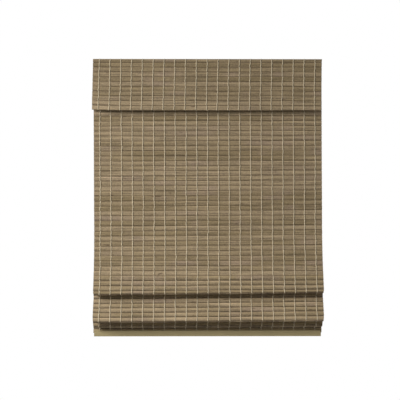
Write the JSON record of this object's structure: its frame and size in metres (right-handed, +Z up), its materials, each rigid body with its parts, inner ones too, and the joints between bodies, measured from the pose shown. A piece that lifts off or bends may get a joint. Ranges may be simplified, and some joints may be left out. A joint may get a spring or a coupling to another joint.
{
  "type": "bamboo roman shade",
  "caption": "Woven bamboo roman shade with a valance, folds gathered above a bottom rail, and a spring-lift headrail on angle brackets.",
  "frame": {"origin": "on the wall, at the middle of the four bracket screws", "axes": "+X along the window to the right as seen from the room, +Y into the wall, +Z up"},
  "size_m": [0.687, 0.1132, 0.8323],
  "materials": {
    "bamboo": "flat woven slats, matt",
    "yarn": "twisted binding yarn",
    "rail_plastic": "khaki extrusion, matt",
    "headrail_paint": "cream enamel on folded sheet",
    "cap_plastic": "moulded",
    "bracket_steel": "zinc plated",
    "bolt_steel": "zinc plated",
    "hook_tape": "hook and loop tape",
    "shaft_steel": "drawn bar",
    "motor_plastic": "moulded",
    "drum_plastic": "moulded",
    "cradle_plastic": "moulded",
    "spring_steel": "rolled strip",
    "lift_cord": "braided cord",
    "batten_wood": "planed strip",
    "ring_plastic": "moulded"
  },
  "bodies": {
    "headrail": {"headrail_channel": "headrail_paint", "left_end_cap": "cap_plastic", "right_end_cap": "cap_plastic", "left_bracket": "bracket_steel", "right_bracket": "bracket_steel", "bracket_bolts": "bolt_steel", "bracket_nuts": "bolt_steel", "shade_tape": "hook_tape", "valance_tape": "hook_tape", "valance": "bamboo", "valance_threads": "yarn", "shade_panel": "bamboo", "panel_threads": "yarn", "left_cradle": "cradle_plastic", "right_cradle": "cradle_plastic", "motor_frame": "motor_plastic", "power_spring": "spring_steel", "left_lift_cord": "lift_cord", "right_lift_cord": "lift_cord"},
    "gathered_folds": {"fold_stack": "bamboo", "stack_threads": "yarn", "bottom_rail": "rail_plastic", "left_rail_cap": "rail_plastic", "right_rail_cap": "rail_plastic", "batten_1": "batten_wood", "left_ring_1": "ring_plastic", "right_ring_1": "ring_plastic", "batten_2": "batten_wood", "left_ring_2": "ring_plastic", "right_ring_2": "ring_plastic", "batten_3": "batten_wood", "left_ring_3": "ring_plastic", "right_ring_3": "ring_plastic", "left_cord_stop": "ring_plastic", "right_cord_stop": "ring_plastic"},
    "fourth_row": {"batten_4": "batten_wood", "left_ring_4": "ring_plastic", "right_ring_4": "ring_plastic"},
    "fifth_row": {"batten_5": "batten_wood", "left_ring_5": "ring_plastic", "right_ring_5": "ring_plastic"},
    "shaft_and_spools": {"lift_shaft": "shaft_steel", "left_spool": "drum_plastic", "right_spool": "drum_plastic", "output_drum": "drum_plastic"},
    "storage": {"storage_drum": "drum_plastic"}
  },
  "joints": [
    {"name": "lift", "type": "slide", "parent": "headrail", "child": "gathered_folds", "axis": [0, 0, 1], "range_m": [0, 0.47], "deforming": ["shade_panel", "panel_threads", "left_lift_cord", "right_lift_cord"]},
    {"name": "fourth_row_rise", "type": "slide", "parent": "headrail", "child": "fourth_row", "axis": [0, 0, 1], "range_m": [0, 0.3742]},
    {"name": "fifth_row_rise", "type": "slide", "parent": "headrail", "child": "fifth_row", "axis": [0, 0, 1], "range_m": [0, 0.2133]},
    {"name": "shaft_turn", "type": "hinge", "parent": "headrail", "child": "shaft_and_spools", "pos_m": [0, -0.0372, 0.044], "axis": [1, 0, 0], "range_deg": [-2700, 0]},
    {"name": "storage_turn", "type": "hinge", "parent": "headrail", "child": "storage", "pos_m": [0, -0.0152, 0.044], "axis": [1, 0, 0], "range_deg": [0, 1890]}
  ],
  "couplings": [
    {"joint": "fourth_row_rise", "follows": "lift", "ratio": 0.79403},
    {"joint": "fifth_row_rise", "follows": "lift", "ratio": 0.45177},
    {"joint": "shaft_turn", "follows": "lift", "rad_per_m": -100},
    {"joint": "storage_turn", "follows": "lift", "rad_per_m": 70}
  ]
}
